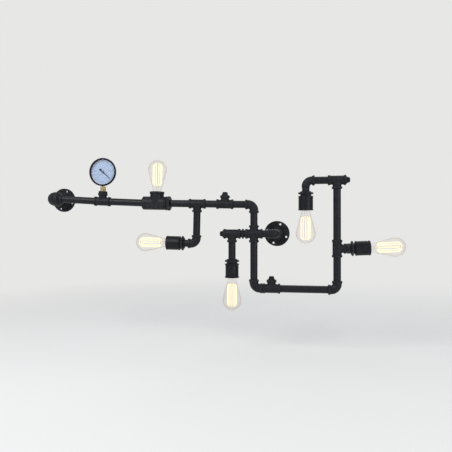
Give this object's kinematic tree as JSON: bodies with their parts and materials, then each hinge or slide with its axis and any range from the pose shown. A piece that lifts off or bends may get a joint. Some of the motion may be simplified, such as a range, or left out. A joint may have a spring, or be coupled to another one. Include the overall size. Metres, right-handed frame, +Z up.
{
  "type": "wall light",
  "caption": "Industrial wall light of black iron pipes and fittings on wall flanges, with screw-in lamps in turned cups, one in a large tee, and a round dial gauge.",
  "frame": {"origin": "centre of the right wall flange's back face, on the wall", "axes": "+X to the right and +Z up as the light is seen, +Y into the wall; the light is on the -Y side"},
  "size_m": [1.0983, 0.1045, 0.4594],
  "materials": {
    "black_iron": "satin black over the cast surface of fittings and flanges",
    "black_pipe": "satin black steel pipe",
    "turned_black": "satin black turned cups, rings, hexagons and plugs",
    "cap_brass": "rolled sheet",
    "lamp_glass": "clear, faintly warm, lit from inside",
    "porcelain": "glazed porcelain",
    "holder_brass": "rolled sheet",
    "sleeved_leads": "dull sleeve",
    "gauge_black": "satin black",
    "window_glass": "clear flat pane",
    "dial_enamel": "matt bluish white with a printed scale",
    "pointer_dark": "dark satin",
    "movement_brass": "machined",
    "stem_brass": "machined, bright"
  },
  "bodies": {
    "pipework": {"close_nipples": "black_pipe", "cross": "black_iron", "drop_elbow": "black_iron", "drop_pipe": "black_pipe", "drop_tee": "black_iron", "gauge_bezel": "gauge_black", "gauge_bourdon": "movement_brass", "gauge_bushing": "turned_black", "gauge_case": "gauge_black", "gauge_dial": "dial_enamel", "gauge_pipe": "black_pipe", "gauge_plate": "movement_brass", "gauge_socket": "stem_brass", "gauge_tee": "black_iron", "gauge_window": "window_glass", "hex_nipples": "turned_black", "holder_brass": "holder_brass", "holder_insulators": "porcelain", "lamp_cups": "turned_black", "lamp_tee": "black_iron", "lamp_tee_bushing": "turned_black", "left_flange": "black_iron", "left_pipe": "black_pipe", "left_wall_elbow": "black_iron", "left_wall_nipple": "black_pipe", "lock_rings": "turned_black", "lower_left_corner": "black_iron", "lower_pipe": "black_pipe", "lower_plug_tee": "black_iron", "lower_right_corner": "black_iron", "lower_riser_pipe": "black_pipe", "pipe_plugs": "turned_black", "right_flange": "black_iron", "right_lamp_tee": "black_iron", "right_riser_pipe": "black_pipe", "right_wall_elbow": "black_iron", "right_wall_nipple": "black_pipe", "short_pipes": "black_pipe", "side_drop_pipe": "black_pipe", "side_tee": "black_iron", "tall_riser_pipe": "black_pipe", "upper_lamp_pipe": "black_pipe", "upper_left_corner": "black_iron", "upper_plug_tee": "black_iron", "upper_right_corner": "black_iron", "upper_right_tee": "black_iron", "wiring_loom": "sleeved_leads"},
    "drop_lamp": {"drop_lamp_cap": "cap_brass", "drop_lamp_glass": "lamp_glass"},
    "side_lamp": {"side_lamp_cap": "cap_brass", "side_lamp_glass": "lamp_glass"},
    "right_lamp": {"right_lamp_cap": "cap_brass", "right_lamp_glass": "lamp_glass"},
    "hook_lamp": {"hook_lamp_cap": "cap_brass", "hook_lamp_glass": "lamp_glass"},
    "upper_lamp": {"upper_lamp_cap": "cap_brass", "upper_lamp_glass": "lamp_glass"},
    "pointer": {"gauge_pointer": "pointer_dark", "gauge_arbor": "movement_brass"},
    "sector": {"gauge_sector": "movement_brass"}
  },
  "joints": [
    {"name": "drop_lamp_slide", "type": "slide", "parent": "pipework", "child": "drop_lamp", "axis": [-0.9998, 0, 0.022], "range_m": [0, 0.03]},
    {"name": "side_lamp_slide", "type": "slide", "parent": "pipework", "child": "side_lamp", "axis": [0, 0, -1], "range_m": [0, 0.03]},
    {"name": "right_lamp_slide", "type": "slide", "parent": "pipework", "child": "right_lamp", "axis": [0.999, 0, 0.0436], "range_m": [0, 0.03]},
    {"name": "hook_lamp_slide", "type": "slide", "parent": "pipework", "child": "hook_lamp", "axis": [0, 0, -1], "range_m": [0, 0.03]},
    {"name": "upper_lamp_slide", "type": "slide", "parent": "pipework", "child": "upper_lamp", "axis": [0.022, 0, 0.9998], "range_m": [0, 0.03]},
    {"name": "pointer_spin", "type": "hinge", "parent": "pipework", "child": "pointer", "pos_m": [-0.52641, -0.0705, 0.18802], "axis": [0, -1, 0], "range_deg": [0, 270]},
    {"name": "sector_swing", "type": "hinge", "parent": "pipework", "child": "sector", "pos_m": [-0.52717, -0.0705, 0.17124], "axis": [0, -1, 0], "range_deg": [-45, 0]}
  ],
  "couplings": [
    {"joint": "sector_swing", "follows": "pointer_spin", "ratio": -0.16667}
  ]
}
